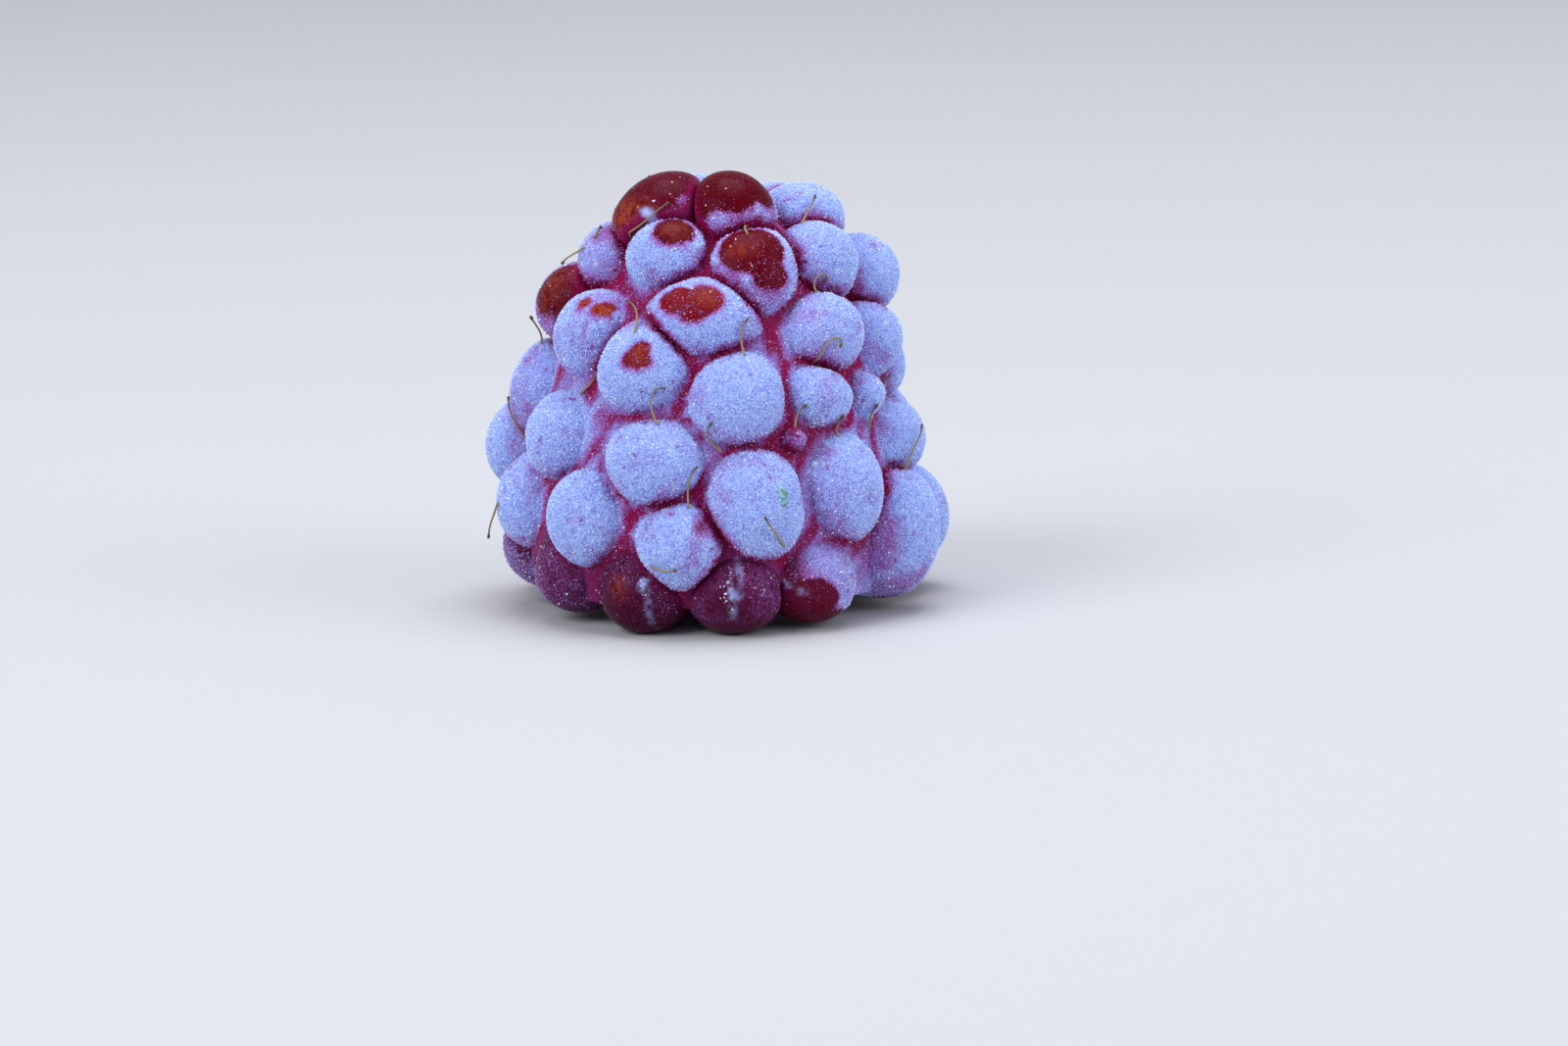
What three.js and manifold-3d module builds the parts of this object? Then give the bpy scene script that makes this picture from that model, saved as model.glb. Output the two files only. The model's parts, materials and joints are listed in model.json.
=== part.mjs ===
// A raspberry as picked: one body of drupelets that grew together round a hollow, where the
// fruit came off its receptacle. It stands on its open end, with its tip up.
//
// Millimetres, +Z up. The origin lies on the surface that the fruit stands on, under the
// middle of its outline. Azimuth is in degrees round the fruit: 0 is its front, towards -Y,
// and 90 is its right, towards +X.
import * as THREE from "three";
import { mergeVertices } from "three/addons/utils/BufferGeometryUtils.js";
import Module from "manifold-3d";

// The outline that the drupelets' tips reach: a rounded cone, widest near its open end.
const fruit = {
  height: 20.1,
  widestRadius: 10.4,
  widestHeight: 4.2,
  rimNarrowing: 0.1, // share of the radius lost from the widest part down to the rim
  rimPower: 2,
  crownPower: 1.3,
  crownRoundness: 0.37,
};

const drupelet = {
  width: 4.0, // round the fruit
  length: 4.1, // up the fruit
  depth: 5.4, // from root to tip
  swell: 1.2, // growth past the stated size before its neighbours press it back
  softness: 0.45, // rounding where a side turns into a pressed wall
  fusing: 0.1, // how far pressed walls stay in each other, so that they join
  sides: 12,
  rings: [28, 56, 88], // degrees from its tip: the root past them is hidden
};

// The flesh that roots the drupelets, as depths under the outline. Its underside rises from
// its outer edge towards the hollow, so that the lowest drupelets' roots show there.
const flesh = { outside: 1.45, inside: 5.3, edge: 1.2, rise: 3.2, sides: 24, steps: 8 };

const restingCut = { size: 60, depth: 10 }; // block taken off below the resting surface

// The front's drupelets, row by row from the tip down: azimuth, height of the drupelet's tip,
// width, length, and how far it stands proud of the outline. The rest of each row goes round
// the back at even spacing: first and last azimuth, how many, and at what height.
const rows = {
  tip: {
    front: [
      [195, 19.3, 3.9, 3.9, -0.2],
      [125, 18.9, 3.2, 3.0, -0.1],
    ],
  },
  crown: {
    front: [
      [-50, 19.5, 4.4, 5.0, 0.35],
      [21, 19.65, 4.0, 4.3, 0.4],
      [92, 18.2, 4.2, 3.9, 0.7],
    ],
    back: { from: 160, to: 225, count: 2, height: 18.4 },
  },
  brow: {
    front: [
      [-73, 17.0, 3.7, 4.0, -0.1],
      [-26, 17.9, 4.2, 4.0, 0],
      [24, 17.0, 4.4, 4.7, 0.1],
      [68, 16.7, 4.2, 4.0, 0.5],
      [101, 15.0, 4.2, 3.9, 1.35],
    ],
    back: { from: 143, to: 240, count: 4, height: 16.4 },
  },
  shoulder: {
    front: [
      [-86, 14.6, 3.9, 3.9, 0.3],
      [-56, 13.7, 4.1, 4.4, 0.1],
      [-4, 14.8, 5.2, 4.1, 0],
      [50, 13.6, 4.4, 4.1, 0.2],
      [84, 12.7, 4.0, 4.0, 0.3],
    ],
    back: { from: 117, to: 245, count: 5, height: 14.1 },
  },
  breast: {
    front: [
      [-90, 10.4, 3.9, 5.2, 0.2],
      [-26, 12.4, 4.4, 4.4, 0.1],
      [9, 10.9, 4.4, 4.5, 0.2],
      [39, 10.8, 3.4, 3.3, 0],
      [61, 10.5, 2.6, 2.7, -0.3],
      [85, 10.3, 3.0, 2.6, -0.9],
    ],
    back: { from: 104, to: 242, count: 6, height: 11.0 },
  },
  waist: {
    front: [
      [-101, 7.3, 4.2, 4.4, 0.8],
      [-59, 8.9, 3.8, 4.3, 0.1],
      [-19, 8.1, 4.5, 4.2, 0.1],
      [12, 6.1, 4.4, 5.5, 0.3],
      [43, 6.6, 4.0, 5.0, 0.2],
      [80, 8.0, 4.4, 4.1, 0],
      [26, 9.0, 1.8, 2.2, -0.4],
    ],
    back: { from: 112, to: 229, count: 5, height: 8.0 },
  },
  hip: {
    front: [
      [-78, 5.4, 4.2, 4.8, 0],
      [-42, 5.3, 4.0, 4.6, 0.1],
      [-10, 3.9, 4.2, 4.2, 0.2],
      [68, 3.5, 4.6, 5.6, 0.5],
      [102, 3.1, 4.2, 4.6, 0.6],
    ],
    back: { from: 130, to: 252, count: 5, height: 4.8 },
  },
  rim: {
    front: [
      [-88, 2.3, 4.0, 4.0, -0.2],
      [-55, 1.6, 3.9, 3.8, -0.2],
      [-23.5, 1.3, 4.2, 3.8, 0.3],
      [5.5, 1.3, 4.4, 3.8, 0.4],
      [31, 1.5, 4.0, 3.9, 0.2],
    ],
    back: { from: 90, to: 245, count: 6, height: 1.6 },
  },
};

// Seeded scatter of the back rows: degrees round the fruit, millimetres up it, share of size,
// and millimetres proud.
const scatter = { azimuth: 7, height: 0.5, size: 0.14, proud: 0.2 };

const wasm = await Module();
wasm.setup();

// A repeatable number from -0.5 to 0.5 for each whole seed.
function scattered(seed) {
  const x = Math.sin(seed * 12.9898) * 43758.5453;
  return x - Math.floor(x) - 0.5;
}

function outlineRadius(height) {
  const { widestRadius, widestHeight } = fruit;
  if (height < widestHeight) {
    const down = 1 - height / widestHeight;
    return widestRadius * (1 - fruit.rimNarrowing * down ** fruit.rimPower);
  }
  const up = (height - widestHeight) / (fruit.height - widestHeight);
  return widestRadius * (1 - up ** fruit.crownPower) ** fruit.crownRoundness;
}

// The outline's point at a height, and its outward direction, both as (radial, up).
function outlineAt(height) {
  const step = 0.02;
  const low = Math.max(height - step, 0);
  const high = Math.min(height + step, fruit.height);
  const run = outlineRadius(low) - outlineRadius(high);
  const outward = new THREE.Vector2(high - low, run).normalize();
  return { point: new THREE.Vector2(outlineRadius(height), height), outward };
}

// A drupelet before its neighbours press it: centre, half sizes, and axes that point round
// the fruit, up it and out of it.
function placeDrupelet([azimuth, height, width, length, proud]) {
  const turn = THREE.MathUtils.degToRad(azimuth);
  const { point, outward } = outlineAt(height);
  const away = new THREE.Vector3(Math.sin(turn), -Math.cos(turn), 0);
  const round = new THREE.Vector3(Math.cos(turn), Math.sin(turn), 0);
  const out = away.clone().multiplyScalar(outward.x).setZ(outward.y);
  const up = new THREE.Vector3().crossVectors(out, round);
  const half = new THREE.Vector3(
    (width / 2) * drupelet.swell,
    (length / 2) * drupelet.swell,
    drupelet.depth / 2,
  );
  const centre = away.multiplyScalar(point.x).setZ(point.y);
  centre.addScaledVector(out, proud - half.z);
  return { centre, half, axes: [round, up, out] };
}

function backDrupelets({ from, to, count, height }, rowNumber) {
  const spacing = (to - from) / (count - 1);
  return Array.from({ length: count }, (_, i) => {
    const seed = 100 * rowNumber + 4 * i;
    const size = 1 + scatter.size * scattered(seed + 2);
    return [
      from + i * spacing + scatter.azimuth * scattered(seed),
      height + scatter.height * scattered(seed + 1),
      drupelet.width * size,
      drupelet.length * size,
      scatter.proud * scattered(seed + 3),
    ];
  });
}

function allDrupelets() {
  const stated = Object.values(rows).flatMap(({ front, back }, rowNumber) =>
    back ? [...front, ...backDrupelets(back, rowNumber)] : front,
  );
  return stated.map(placeDrupelet);
}

// How far a drupelet's surface is from its centre, in a given direction.
function reach({ half, axes }, direction) {
  const across = axes.map((axis, i) => axis.dot(direction) / half.getComponent(i));
  return 1 / Math.hypot(...across);
}

// The walls between a drupelet and the neighbours that it grows into.
function pressedWalls(one, all) {
  const walls = [];
  for (const other of all) {
    if (other === one) continue;
    const distance = one.centre.distanceTo(other.centre);
    const direction = other.centre.clone().sub(one.centre).normalize();
    const mine = reach(one, direction);
    const theirs = reach(other, direction);
    if (mine + theirs <= distance) continue;
    walls.push({ direction, at: (distance * mine) / (mine + theirs) + drupelet.fusing });
  }
  return walls;
}

function solidOf(geometry) {
  geometry.deleteAttribute("normal");
  geometry.deleteAttribute("uv");
  const merged = mergeVertices(geometry, 1e-5);
  return new wasm.Manifold(
    new wasm.Mesh({
      numProp: 3,
      vertProperties: merged.attributes.position.array,
      triVerts: new Uint32Array(merged.index.array),
    }),
  );
}

function geometryOf(solid) {
  const { vertProperties, triVerts } = solid.getMesh();
  const geometry = new THREE.BufferGeometry();
  geometry.setAttribute("position", new THREE.BufferAttribute(vertProperties, 3));
  geometry.setIndex(new THREE.BufferAttribute(triVerts, 1));
  geometry.computeVertexNormals();
  return geometry;
}

// A lathe turns about Y: this stands it up along Z.
function uprightLathe(profile, sides) {
  return new THREE.LatheGeometry(profile, sides).rotateX(Math.PI / 2);
}

// A ball of radius 1 with its tip along +Z.
function unitBall() {
  const profile = [180, ...drupelet.rings.toReversed(), 0].map((degrees) => {
    const angle = THREE.MathUtils.degToRad(degrees);
    return new THREE.Vector2(Math.sin(angle), Math.cos(angle));
  });
  return uprightLathe(profile, drupelet.sides);
}

// The ball pressed back at each wall, with a rounded turn into the wall.
function drupeletSolid(one, walls) {
  const ball = unitBall();
  const position = ball.attributes.position;
  const offset = new THREE.Vector3();
  for (let i = 0; i < position.count; i++) {
    const local = new THREE.Vector3().fromBufferAttribute(position, i).multiply(one.half);
    offset.set(0, 0, 0);
    one.axes.forEach((axis, k) => offset.addScaledVector(axis, local.getComponent(k)));
    for (const { direction, at } of walls) {
      const past = offset.dot(direction) - at;
      offset.addScaledVector(direction, -(past + Math.hypot(past, drupelet.softness)) / 2);
    }
    position.setXYZ(i, ...offset.add(one.centre).toArray());
  }
  return solidOf(ball);
}

// The outline moved inwards, as a profile from a height up to its top.
function insetProfile(inset, lowest) {
  const profile = [];
  for (let i = 0; i < flesh.steps; i++) {
    const share = Math.sin((i / flesh.steps) * (Math.PI / 2));
    const { point, outward } = outlineAt(lowest + (fruit.height - lowest) * share);
    profile.push(point.addScaledVector(outward, -inset));
  }
  return [...profile, new THREE.Vector2(0, fruit.height - inset)];
}

function fleshSolid() {
  const outside = insetProfile(flesh.outside, flesh.edge);
  outside[0].y = flesh.edge;
  const profile = [new THREE.Vector2(0, flesh.edge + flesh.rise), ...outside];
  return solidOf(uprightLathe(profile, flesh.sides));
}

function hollowSolid() {
  const inside = insetProfile(flesh.inside, fruit.widestHeight);
  const below = -restingCut.depth;
  const mouth = [new THREE.Vector2(0, below), new THREE.Vector2(inside[0].x, below)];
  return solidOf(uprightLathe([...mouth, ...inside], flesh.sides));
}

function restingCutSolid() {
  const { size, depth } = restingCut;
  return solidOf(new THREE.BoxGeometry(size, size, depth).translate(0, 0, -depth / 2));
}

function fruitGeometry() {
  const drupelets = allDrupelets();
  let solid = fleshSolid();
  for (const one of drupelets) {
    solid = solid.add(drupeletSolid(one, pressedWalls(one, drupelets)));
  }
  const geometry = geometryOf(solid.subtract(hollowSolid()).subtract(restingCutSolid()));
  geometry.computeBoundingBox();
  const middle = geometry.boundingBox.getCenter(new THREE.Vector3());
  return geometry.translate(-middle.x, -middle.y, 0);
}

const frostedSkin = new THREE.MeshStandardMaterial({
  name: "frosted raspberry skin",
  color: 0x9fb0f0,
  roughness: 0.75,
  metalness: 0,
});

const body = new THREE.Mesh(fruitGeometry(), frostedSkin);
body.name = "raspberry";

const raspberry = new THREE.Group();
raspberry.add(body);

export default raspberry;
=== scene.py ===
import json
import math

import bmesh
import bpy
import numpy as np
from mathutils import Euler, Matrix, Vector, noise
from mathutils.bvhtree import BVHTree
from mathutils.kdtree import KDTree

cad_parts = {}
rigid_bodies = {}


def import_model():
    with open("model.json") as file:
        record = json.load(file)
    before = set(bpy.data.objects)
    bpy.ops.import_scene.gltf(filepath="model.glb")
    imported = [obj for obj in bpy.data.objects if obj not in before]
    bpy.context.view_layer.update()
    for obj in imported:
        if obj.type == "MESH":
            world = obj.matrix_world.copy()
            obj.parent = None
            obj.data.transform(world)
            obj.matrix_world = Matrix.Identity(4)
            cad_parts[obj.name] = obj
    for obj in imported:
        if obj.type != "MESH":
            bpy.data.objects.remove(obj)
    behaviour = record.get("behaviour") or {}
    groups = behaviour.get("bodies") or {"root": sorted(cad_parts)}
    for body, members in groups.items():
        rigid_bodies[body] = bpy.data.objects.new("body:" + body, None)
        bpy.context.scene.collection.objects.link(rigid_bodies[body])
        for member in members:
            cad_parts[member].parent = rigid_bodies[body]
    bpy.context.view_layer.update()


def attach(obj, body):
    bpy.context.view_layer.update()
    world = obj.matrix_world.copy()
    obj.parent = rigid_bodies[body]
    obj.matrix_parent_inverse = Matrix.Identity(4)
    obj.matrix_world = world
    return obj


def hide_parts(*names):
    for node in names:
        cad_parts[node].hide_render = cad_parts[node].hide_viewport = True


# A raspberry as picked and frozen hard: drupelets grown together round a hollow, under
# hoarfrost that has come off in places. Sizes are in millimetres, and a mesh is turned into
# metres as it is made. Azimuth is in degrees round the fruit: 0 is its front, towards -Y,
# and 90 is its right, towards +X.

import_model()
scene = bpy.context.scene
mm = 0.001

# The camera stands well back with a long lens, a little above the fruit.
cameraView = {
    "place": (3.024, -311.954, 62.41),
    "down": 10.7,  # degrees below level
    "roll": 1.1,
    "lens": 157.98,
    "sensor": 36,
}


def makeCamera():
    data = bpy.data.cameras.new("camera")
    data.lens = cameraView["lens"]
    data.sensor_width = cameraView["sensor"]
    data.clip_start = 10 * mm
    data.clip_end = 20
    down = math.radians(cameraView["down"])
    roll = math.radians(cameraView["roll"])
    forward = Vector((0, math.cos(down), -math.sin(down)))
    right = Vector((1, 0, 0))
    above = right.cross(forward)
    turned = (
        right * math.cos(roll) - above * math.sin(roll),
        right * math.sin(roll) + above * math.cos(roll),
        -forward,
    )
    camera = bpy.data.objects.new("camera", data)
    place = Matrix.Translation(Vector(cameraView["place"]) * mm)
    camera.matrix_world = place @ Matrix(turned).transposed().to_4x4()
    scene.collection.objects.link(camera)
    scene.camera = camera


makeCamera()
print("camera made")


def linearColour(code):
    # sRGB hex to linear, with full opacity
    parts = [int(code[i : i + 2], 16) / 255 for i in (0, 2, 4)]
    linear = [p / 12.92 if p <= 0.04045 else ((p + 0.055) / 1.055) ** 2.4 for p in parts]
    return [*linear, 1]


def addNode(tree, kind, settings=None, inputs=None, output=None):
    # Adds a node with its settings and its inputs, which are values or the sockets that
    # lead to them, and gives back one of its outputs.
    node = tree.nodes.new(kind)
    for name, value in (settings or {}).items():
        setattr(node, name, value)
    for key, value in (inputs or {}).items():
        live = [s for s in node.inputs if s.enabled]
        socket = live[key] if isinstance(key, int) else next(s for s in live if s.name == key)
        if isinstance(value, bpy.types.NodeSocket):
            tree.links.new(value, socket)
        else:
            socket.default_value = value
    live = [s for s in node.outputs if s.enabled]
    return next((s for s in live if output in (None, s.name)), None)


def meshObject(name, points, faces, material=None):
    mesh = bpy.data.meshes.new(name)
    mesh.from_pydata((np.asarray(points) * mm).tolist(), [], np.asarray(faces).tolist())
    if material:
        mesh.materials.append(material)
    return bpy.data.objects.new(name, mesh)


def addPiece(piece):
    scene.collection.objects.link(piece)
    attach(piece, "root")
    print(piece.name, triangleCount(piece.data), "triangles")


def pointsOf(mesh):
    # Vertex positions in millimetres
    flat = np.empty(len(mesh.vertices) * 3, np.float32)
    mesh.vertices.foreach_get("co", flat)
    return flat.reshape(-1, 3).astype(float) / mm


def triangleCount(mesh):
    return sum(len(face.vertices) - 2 for face in mesh.polygons)


def shapeOf(made):
    # A bmesh's points and faces
    points = np.array([v.co for v in made.verts])
    faces = np.array([[v.index for v in face.verts] for face in made.faces])
    made.free()
    return points, faces


def smoothstep(low, high, value):
    share = np.clip((value - low) / (high - low), 0, 1)
    return share * share * (3 - 2 * share)


# The fruit's outline: a rounded cone, widest near its open end.
fruit = {
    "height": 20.1,
    "widestRadius": 10.4,
    "widestHeight": 4.2,
    "rimNarrowing": 0.1,
    "rimPower": 2,
    "crownPower": 1.3,
    "crownRoundness": 0.37,
}

drupelet = {
    "width": 4.0,
    "length": 4.1,
    "depth": 5.4,
    "swell": 1.2,  # growth past the stated size before the neighbours press it back
    "softness": 0.45,  # rounding where a side turns into a pressed wall
    "fusing": 0.1,
    "subdivisions": 5,
    "crowding": 0.1,  # how far the ball's vertices are drawn towards its tip
    "unevenness": 0.012,  # share of its size
    "frostRoom": 0.2,  # mm by which its skin lies under its frosted size
    "bareRoom": 0.05,
    "mostlyBare": ["crown 0", "crown 1", "shoulder 0"],
}

flesh = {"outside": 1.45, "inside": 5.3, "edge": 1.2, "rise": 3.2, "sides": 96, "steps": 32}

# Drupelets by row from the tip down, as azimuth, height, width, length and how far they
# stand proud. The rest of each row goes round the back.
rows = {
    "tip": {"front": [(195, 19.3, 3.9, 3.9, -0.2), (125, 18.9, 3.2, 3.0, -0.1)]},
    "crown": {
        "front": [
            (-50, 19.5, 4.4, 5.0, 0.35),
            (21, 19.65, 4.0, 4.3, 0.4),
            (92, 18.2, 4.2, 3.9, 0.7),
        ],
        "back": {"from": 160, "to": 225, "count": 2, "height": 18.4},
    },
    "brow": {
        "front": [
            (-73, 17.0, 3.7, 4.0, -0.1),
            (-26, 17.9, 4.2, 4.0, 0),
            (24, 17.0, 4.4, 4.7, 0.1),
            (68, 16.7, 4.2, 4.0, 0.5),
            (101, 15.0, 4.2, 3.9, 1.35),
        ],
        "back": {"from": 143, "to": 240, "count": 4, "height": 16.4},
    },
    "shoulder": {
        "front": [
            (-86, 14.6, 3.9, 3.9, 0.3),
            (-56, 13.7, 4.1, 4.4, 0.1),
            (-4, 14.8, 5.2, 4.1, 0),
            (50, 13.6, 4.4, 4.1, 0.2),
            (84, 12.7, 4.0, 4.0, 0.3),
        ],
        "back": {"from": 117, "to": 245, "count": 5, "height": 14.1},
    },
    "breast": {
        "front": [
            (-90, 10.4, 3.9, 5.2, 0.2),
            (-26, 12.4, 4.4, 4.4, 0.1),
            (9, 10.9, 4.4, 4.5, 0.2),
            (39, 10.8, 3.4, 3.3, 0),
            (61, 10.5, 2.6, 2.7, -0.3),
            (85, 10.3, 3.0, 2.6, -0.9),
        ],
        "back": {"from": 104, "to": 242, "count": 6, "height": 11.0},
    },
    "waist": {
        "front": [
            (-101, 7.3, 4.2, 4.4, 0.8),
            (-59, 8.9, 3.8, 4.3, 0.1),
            (-19, 8.1, 4.5, 4.2, 0.1),
            (12, 6.1, 4.4, 5.5, 0.3),
            (43, 6.6, 4.0, 5.0, 0.2),
            (80, 8.0, 4.4, 4.1, 0),
            (26, 9.0, 1.8, 2.2, -0.4),
        ],
        "back": {"from": 112, "to": 229, "count": 5, "height": 8.0},
    },
    "hip": {
        "front": [
            (-78, 5.4, 4.2, 4.8, 0),
            (-42, 5.3, 4.0, 4.6, 0.1),
            (-10, 3.9, 4.2, 4.2, 0.2),
            (68, 3.5, 4.6, 5.6, 0.5),
            (102, 3.1, 4.2, 4.6, 0.6),
        ],
        "back": {"from": 130, "to": 252, "count": 5, "height": 4.8},
    },
    "rim": {
        "front": [
            (-88, 2.3, 4.0, 4.0, -0.2),
            (-55, 1.6, 3.9, 3.8, -0.2),
            (-23.5, 1.3, 4.2, 3.8, 0.3),
            (5.5, 1.3, 4.4, 3.8, 0.4),
            (31, 1.5, 4.0, 3.9, 0.2),
        ],
        "back": {"from": 90, "to": 245, "count": 6, "height": 1.6},
    },
}

scatter = {"azimuth": 7, "height": 0.5, "size": 0.14, "proud": 0.2}


def scattered(seed):
    # A repeatable number from -0.5 to 0.5 for each whole seed
    x = math.sin(seed * 12.9898) * 43758.5453
    return x - math.floor(x) - 0.5


def outlineRadius(height):
    if height < fruit["widestHeight"]:
        down = 1 - height / fruit["widestHeight"]
        return fruit["widestRadius"] * (1 - fruit["rimNarrowing"] * down ** fruit["rimPower"])
    up = (height - fruit["widestHeight"]) / (fruit["height"] - fruit["widestHeight"])
    up = min(max(up, 0), 1)
    return fruit["widestRadius"] * (1 - up ** fruit["crownPower"]) ** fruit["crownRoundness"]


def outlineAt(height):
    # The outline's point at a height and its outward direction, both as (radial, up)
    step = 0.02
    low = max(height - step, 0)
    high = min(height + step, fruit["height"])
    outward = Vector((high - low, outlineRadius(low) - outlineRadius(high))).normalized()
    return Vector((outlineRadius(height), height)), outward


def roundAxes(azimuth, outward):
    # Unit vectors round the fruit, up it and out of it
    turn = math.radians(azimuth)
    around = Vector((math.cos(turn), math.sin(turn), 0))
    out = Vector((math.sin(turn) * outward.x, -math.cos(turn) * outward.x, outward.y))
    return around, out.cross(around), out


def onOutline(azimuth, point):
    turn = math.radians(azimuth)
    return Vector((math.sin(turn) * point.x, -math.cos(turn) * point.x, point.y))


def placeDrupelet(name, azimuth, height, width, length, proud):
    point, outward = outlineAt(height)
    axes = roundAxes(azimuth, outward)
    half = np.array([width * drupelet["swell"], length * drupelet["swell"], drupelet["depth"]]) / 2
    tip = onOutline(azimuth, point) + axes[2] * proud
    return {
        "name": name,
        "half": half,
        "axes": np.array(axes),
        "centre": np.array(tip - axes[2] * half[2]),
        "root": np.array(tip - axes[2] * (flesh["inside"] + proud)),
    }


def allDrupelets():
    placed = []
    for rowNumber, (row, parts) in enumerate(rows.items()):
        entries = list(parts["front"])
        back = parts.get("back", {"count": 0})
        for i in range(back["count"]):
            spacing = (back["to"] - back["from"]) / (back["count"] - 1)
            seed = 100 * rowNumber + 4 * i
            size = 1 + scatter["size"] * scattered(seed + 2)
            entries.append((
                back["from"] + i * spacing + scatter["azimuth"] * scattered(seed),
                back["height"] + scatter["height"] * scattered(seed + 1),
                drupelet["width"] * size,
                drupelet["length"] * size,
                scatter["proud"] * scattered(seed + 3),
            ))
        placed += [placeDrupelet(f"{row} {i}", *entry) for i, entry in enumerate(entries)]
    return placed


def reach(one, direction):
    # How far a drupelet's surface is from its centre
    return 1 / np.linalg.norm(one["axes"] @ direction / one["half"])


def pressedWalls(one, everyOne):
    # The walls between a drupelet and the neighbours that it grows into
    walls = []
    for other in everyOne:
        between = other["centre"] - one["centre"]
        distance = np.linalg.norm(between)
        if other is one:
            continue
        direction = between / distance
        mine, theirs = reach(one, direction), reach(other, direction)
        if mine + theirs > distance:
            walls.append((direction, distance * mine / (mine + theirs) + drupelet["fusing"]))
    return walls


def unitBall():
    # A ball of radius 1 whose vertices crowd towards its tip, where it shows
    ball = bmesh.new()
    bmesh.ops.create_icosphere(ball, subdivisions=drupelet["subdivisions"], radius=1)
    points, faces = shapeOf(ball)
    polar = np.arccos(np.clip(points[:, 2], -1, 1))
    crowded = polar - drupelet["crowding"] * np.sin(polar)
    across = points[:, :2] / np.maximum(np.linalg.norm(points[:, :2], axis=1), 1e-9)[:, None]
    points = np.column_stack([across * np.sin(crowded)[:, None], np.cos(crowded)])
    return points, faces


def drupeletPoints(one, number, ball):
    # The ball, slightly uneven, pressed back at each wall with a rounded turn into it
    uneven = np.ones(len(ball))
    for wave in range(4):
        lean = [2.6 * scattered(7 * number + 31 * wave + k) for k in range(4)]
        uneven += drupelet["unevenness"] * np.sin(ball @ np.array(lean[:3]) * 2.4 + 6 * lean[3])
    room = "bareRoom" if one["name"] in drupelet["mostlyBare"] else "frostRoom"
    half = one["half"] - drupelet[room]
    offset = (ball * uneven[:, None] * half) @ one["axes"]
    for direction, at in one["walls"]:
        past = offset @ direction - at
        offset -= np.outer((past + np.hypot(past, drupelet["softness"])) / 2, direction)
    return offset + one["centre"]


def insetProfile(inset, lowest):
    # The outline moved inwards, as (radial, up) from a height up to its top
    profile = []
    for i in range(flesh["steps"]):
        share = math.sin(i / flesh["steps"] * math.pi / 2)
        point, outward = outlineAt(lowest + (fruit["height"] - lowest) * share)
        profile.append(point - outward * inset)
    return [*profile, Vector((0, fruit["height"] - inset))]


def lathe(profile):
    # A closed solid turned about the fruit's axis, from a profile that starts and ends on it
    sides = flesh["sides"]
    points = [(0, 0, profile[0].y)]
    for point in profile[1:-1]:
        for i in range(sides):
            points.append(tuple(onOutline(360 * i / sides, point)))
    points.append((0, 0, profile[-1].y))
    rings = len(profile) - 2
    faces = [(0, 1 + (i + 1) % sides, 1 + i) for i in range(sides)]
    for ring in range(rings - 1):
        low, high = 1 + ring * sides, 1 + (ring + 1) * sides
        for i in range(sides):
            j = (i + 1) % sides
            faces += [(low + i, low + j, high + j), (low + i, high + j, high + i)]
    last = 1 + (rings - 1) * sides
    faces += [(last + i, last + (i + 1) % sides, len(points) - 1) for i in range(sides)]
    return np.array(points), np.array(faces)


def box(width, depth):
    # A block whose top lies on the resting surface
    block = bmesh.new()
    bmesh.ops.create_cube(block, size=1)
    bmesh.ops.triangulate(block, faces=block.faces[:])
    points, faces = shapeOf(block)
    return points * (width, width, depth) - (0, 0, depth / 2), faces


# The hollow that the receptacle left. The drupelets' roots bulge into it.
hollow = {"mouthDepth": 10, "bulge": 0.55, "spread": 0.85, "spreadAtTop": 0.35}
restingCut = {"width": 60, "depth": 10}


def hollowSolid(drupelets):
    below = -hollow["mouthDepth"]
    inside = insetProfile(flesh["inside"], fruit["widestHeight"])
    steps = 12
    wall = [Vector((inside[0].x, below + (inside[0].y - below) * i / steps)) for i in range(steps)]
    points, faces = lathe([Vector((0, below)), *wall, *inside])
    bulges = np.zeros_like(points)
    for one in drupelets:
        share = one["root"][2] / fruit["height"]
        spread = hollow["spread"] + (hollow["spreadAtTop"] - hollow["spread"]) * max(share, 0)
        away = np.sum((points - one["root"]) ** 2, axis=1)
        bulges -= np.outer(np.exp(-away / (2 * spread**2)), one["axes"][2])
    return points + bulges * hollow["bulge"], faces


def fleshSolid():
    outside = insetProfile(flesh["outside"], flesh["edge"])
    outside[0].y = flesh["edge"]
    return lathe([Vector((0, flesh["edge"] + flesh["rise"])), *outside])


def growFruit(drupelets):
    # Flesh and drupelets joined, then the hollow and what is below the surface cut away
    ball, ballFaces = unitBall()
    body = meshObject("flesh", *fleshSolid())
    scene.collection.objects.link(body)
    together = bpy.data.collections.new("drupelets")
    scene.collection.children.link(together)
    for number, one in enumerate(drupelets):
        one["walls"] = pressedWalls(one, drupelets)
        one["points"] = drupeletPoints(one, number, ball)
        together.objects.link(meshObject(one["name"], one["points"], ballFaces))
    join = body.modifiers.new("drupelets", "BOOLEAN")
    join.operation = "UNION"
    join.operand_type = "COLLECTION"
    join.collection = together
    join.solver = "MANIFOLD"
    cutters = [
        meshObject("hollow", *hollowSolid(drupelets)),
        meshObject("below", *box(restingCut["width"], restingCut["depth"])),
    ]
    for cutter in cutters:
        scene.collection.objects.link(cutter)
        cut = body.modifiers.new(cutter.name, "BOOLEAN")
        cut.operation = "DIFFERENCE"
        cut.object = cutter
        cut.solver = "MANIFOLD"
    graph = bpy.context.evaluated_depsgraph_get()
    mesh = bpy.data.meshes.new_from_object(body.evaluated_get(graph), depsgraph=graph)
    hollowPoints = pointsOf(cutters[0].data)
    for made in [body, *cutters, *together.objects]:
        bpy.data.objects.remove(made)
    bpy.data.collections.remove(together)
    return mesh, hollowPoints


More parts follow.
